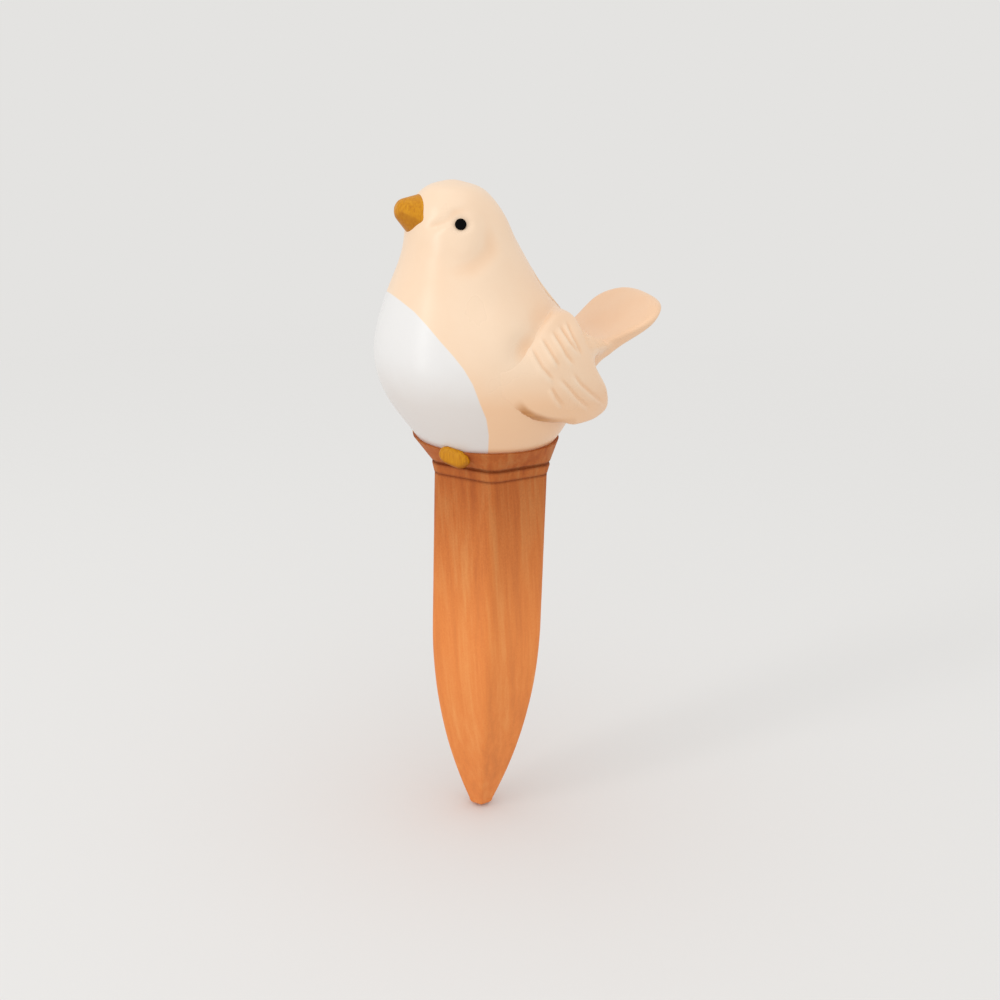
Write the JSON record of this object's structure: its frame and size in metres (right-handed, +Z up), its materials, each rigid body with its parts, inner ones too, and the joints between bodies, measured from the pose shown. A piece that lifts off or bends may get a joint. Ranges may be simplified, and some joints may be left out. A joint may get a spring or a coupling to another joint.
{
  "type": "self watering spike",
  "caption": "Porous terracotta spike with a hollow painted clay bird as its water reservoir, filled through a stoppered hole in the back.",
  "frame": {"origin": "on the spike's axis at the underside of its collar, where the soil's surface lies when the spike is pushed in", "axes": "+Z up along the spike towards the bird's head, -X the way the bird looks, -Y the bird's left side"},
  "size_m": [0.0759, 0.054, 0.1796],
  "materials": {
    "terracotta": "unglazed, wiped smooth with fine upright streaks",
    "painted_clay": "cold painted, satin, with a white bib",
    "gold_paint": "brushed ochre gold paint over clay",
    "black_bead": "polished bead",
    "cement": "set cement",
    "stopper_rubber": "moulded, matt"
  },
  "bodies": {
    "root": {"spike_shell": "terracotta", "bird_shell": "painted_clay", "bond_ring": "cement", "left_wing": "painted_clay", "right_wing": "painted_clay", "tail": "painted_clay", "beak": "gold_paint", "left_eye": "black_bead", "right_eye": "black_bead", "left_foot": "gold_paint", "right_foot": "gold_paint"},
    "stopper": {"fill_stopper": "stopper_rubber"}
  },
  "joints": [
    {"name": "stopper_pull", "type": "slide", "parent": "root", "child": "stopper", "axis": [0.7771, 0, 0.6293], "range_m": [0, 0.02]}
  ]
}
